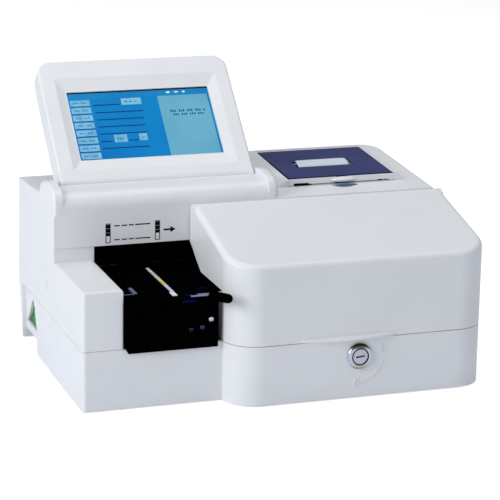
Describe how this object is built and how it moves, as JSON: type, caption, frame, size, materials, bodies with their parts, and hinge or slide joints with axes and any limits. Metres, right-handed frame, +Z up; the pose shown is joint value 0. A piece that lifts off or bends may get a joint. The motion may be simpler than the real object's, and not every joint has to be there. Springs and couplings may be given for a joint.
{
  "type": "urine analyzer",
  "caption": "Desk-top urine strip analyzer with a tilting touch display, lift-up cover with lock, strip stage and built-in paper printer.",
  "frame": {"origin": "on the table under the middle of the whole footprint", "axes": "+X to the right, +Y to the back, +Z up; the front with the lock faces -Y"},
  "size_m": [0.41, 0.3272, 0.2931],
  "materials": {
    "case_white": "fine moulded texture",
    "frame_grey": "fine moulded texture",
    "stage_black": "satin",
    "navy_panel": "satin film",
    "screen_glass": "polished",
    "steel": "ground",
    "lock_chrome": "polished",
    "rubber_dark": "matte",
    "board_green": "lacquered",
    "clear_window": "polished",
    "paper_white": "uncoated",
    "strip_white": "matte",
    "pad_yellow": "fibrous",
    "sheet_steel": "plain",
    "bin_grey": "satin"
  },
  "bodies": {
    "case": {"lower_case": "case_white", "rubber_feet": "rubber_dark", "upper_case": "case_white", "side_block_cover": "case_white", "strip_stage": "stage_black", "front_plate": "stage_black", "front_plate_screws": "steel", "stage_rib": "stage_black", "stage_back_wall": "stage_black", "transport_frame": "sheet_steel", "guide_rods": "steel", "idler_axle": "steel", "drive_belt": "rubber_dark", "stepper_motor": "sheet_steel", "optical_head": "stage_black", "head_window": "clear_window", "sensor_board": "board_green", "reference_tile": "strip_white", "bin_well": "frame_grey", "cover_hinge_brackets": "frame_grey", "lock_body": "lock_chrome", "lock_nut": "steel", "tilt_pins": "steel", "lid_pins": "steel", "printer_box": "stage_black", "print_head": "sheet_steel", "roll_spindle": "frame_grey", "paper_web": "paper_white", "main_board": "board_green", "board_screws": "steel", "side_board": "board_green", "power_supply": "sheet_steel", "rear_panel": "sheet_steel", "power_inlet": "stage_black", "switch_body": "stage_black", "serial_port": "sheet_steel", "usb_port": "sheet_steel"},
    "flip_cover": {"flip_cover": "case_white", "cover_hinge_pins": "steel", "cover_catch": "steel"},
    "cam_lock": {"lock_plug": "lock_chrome", "lock_cam": "steel"},
    "display": {"display_bezel": "frame_grey", "display_back": "frame_grey", "touch_panel": "screen_glass", "lcd_panel": "sheet_steel", "display_board": "board_green"},
    "printer_lid": {"printer_lid": "case_white", "printer_panel": "navy_panel"},
    "platen": {"platen_roller": "rubber_dark"},
    "paper_roll": {"paper_roll": "paper_white"},
    "waste_bin": {"waste_bin": "bin_grey"},
    "strip_pusher": {"carriage": "stage_black", "pusher_arm": "steel"},
    "test_strip": {"test_strip": "strip_white", "strip_pads": "pad_yellow"},
    "motor_pulley": {"motor_pulley": "stage_black", "motor_shaft": "steel"},
    "idler_pulley": {"idler_pulley": "stage_black"},
    "mains_rocker": {"switch_rocker": "stage_black"}
  },
  "joints": [
    {"name": "cover_hinge", "type": "hinge", "parent": "case", "child": "flip_cover", "pos_m": [0.07, -0.0284, 0.1646], "axis": [-1, 0, 0], "range_deg": [0, 70]},
    {"name": "lock_turn", "type": "hinge", "parent": "case", "child": "cam_lock", "pos_m": [0.066, -0.1484, 0.0435], "axis": [0, -1, 0], "range_deg": [0, 90]},
    {"name": "display_tilt", "type": "hinge", "parent": "case", "child": "display", "pos_m": [-0.084, 0.03519, 0.1829], "axis": [1, 0, 0], "range_deg": [-15, 12]},
    {"name": "printer_lid_hinge", "type": "hinge", "parent": "case", "child": "printer_lid", "pos_m": [0.111, 0.11835, 0.18487], "axis": [-1, 0, 0], "range_deg": [0, 80]},
    {"name": "platen_turn", "type": "hinge", "parent": "case", "child": "platen", "pos_m": [0.1075, 0.05038, 0.16863], "axis": [1, 0, 0], "continuous": true},
    {"name": "roll_turn", "type": "hinge", "parent": "case", "child": "paper_roll", "pos_m": [0.1075, 0.08979, 0.15471], "axis": [1, 0, 0], "continuous": true},
    {"name": "bin_lift", "type": "slide", "parent": "case", "child": "waste_bin", "axis": [0, 0, 1], "range_m": [0, 0.045]},
    {"name": "pusher_slide", "type": "slide", "parent": "case", "child": "strip_pusher", "axis": [1, 0, 0], "range_m": [0, 0.1]},
    {"name": "strip_slide", "type": "slide", "parent": "case", "child": "test_strip", "axis": [1, 0, 0], "range_m": [0, 0.1]},
    {"name": "motor_turn", "type": "hinge", "parent": "case", "child": "motor_pulley", "pos_m": [0.017, 0.0036, 0.098], "axis": [0, 1, 0], "range_deg": [0, 900]},
    {"name": "idler_turn", "type": "hinge", "parent": "case", "child": "idler_pulley", "pos_m": [-0.143, 0.0036, 0.098], "axis": [0, 1, 0], "range_deg": [0, 900]},
    {"name": "mains_rock", "type": "hinge", "parent": "case", "child": "mains_rocker", "pos_m": [-0.015, 0.1316, 0.032], "axis": [1, 0, 0], "range_deg": [0, 18]}
  ],
  "couplings": [
    {"joint": "strip_slide", "follows": "pusher_slide", "ratio": 1},
    {"joint": "motor_turn", "follows": "pusher_slide", "rad_per_m": 156.99},
    {"joint": "idler_turn", "follows": "pusher_slide", "rad_per_m": 156.99},
    {"joint": "roll_turn", "follows": "platen_turn", "ratio": -0.29}
  ]
}
